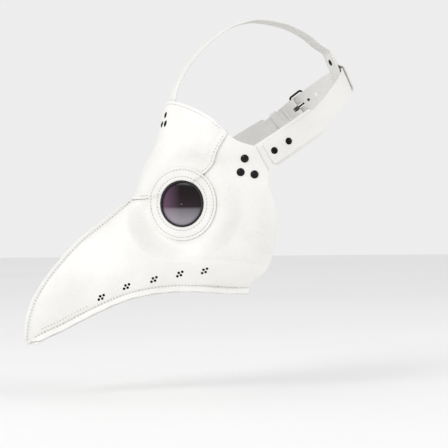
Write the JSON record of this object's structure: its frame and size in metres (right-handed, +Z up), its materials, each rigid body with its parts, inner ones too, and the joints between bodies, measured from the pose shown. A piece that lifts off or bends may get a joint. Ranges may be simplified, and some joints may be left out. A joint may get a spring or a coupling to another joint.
{
  "type": "plague doctor mask",
  "caption": "Sewn leather face mask with a long drooping beak, round dark lenses in stitched rings, punched vents and a riveted harness with a buckle.",
  "frame": {"origin": "centre of the head opening, in the mirror plane, level with the side tabs", "axes": "+Z up, the beak points to -Y, the wearer's left is +X"},
  "size_m": [0.1768, 0.3803, 0.364],
  "materials": {
    "shell_leather": "smooth, softly glossy ivory leather",
    "ring_leather": "smooth ivory leather, stitched",
    "strap_leather": "smooth ivory leather strap",
    "lens": "dark tinted, glossy",
    "lens_rim": "black, satin",
    "rivet": "black, glossy",
    "buckle": "black, satin"
  },
  "bodies": {
    "mask": {"left_side_panel": "shell_leather", "right_side_panel": "shell_leather", "forehead_panel": "shell_leather", "underside_panel": "shell_leather", "left_side_tab": "shell_leather", "right_side_tab": "shell_leather", "left_eye_ring": "ring_leather", "right_eye_ring": "ring_leather", "left_lens_backing_ring": "ring_leather", "right_lens_backing_ring": "ring_leather", "back_strap": "strap_leather", "buckle_strap": "strap_leather", "crown_strap": "strap_leather", "left_lens": "lens", "right_lens": "lens", "left_lens_rim": "lens_rim", "right_lens_rim": "lens_rim", "left_tab_rivets": "rivet", "right_tab_rivets": "rivet", "left_strap_rivets": "rivet", "right_strap_rivets": "rivet", "crown_strap_rivets": "rivet", "crown_loop_rivet": "rivet"},
    "frame": {"buckle_frame": "buckle"},
    "prong": {"buckle_prong": "buckle"},
    "keeper": {"keeper_loop": "strap_leather"}
  },
  "joints": [
    {"name": "buckle_swing", "type": "hinge", "parent": "mask", "child": "frame", "pos_m": [-0.05737, 0.09325, 0.06387], "axis": [-0.1197, -0.6096, 0.7836], "range_deg": [0, 5]},
    {"name": "prong_lift", "type": "hinge", "parent": "frame", "child": "prong", "pos_m": [-0.05737, 0.09325, 0.06387], "axis": [-0.1197, -0.6096, 0.7836], "range_deg": [0, 6]},
    {"name": "keeper_slide", "type": "slide", "parent": "mask", "child": "keeper", "axis": [0.3519, 0.6952, 0.6268], "range_m": [-0.006, 0.006]}
  ]
}
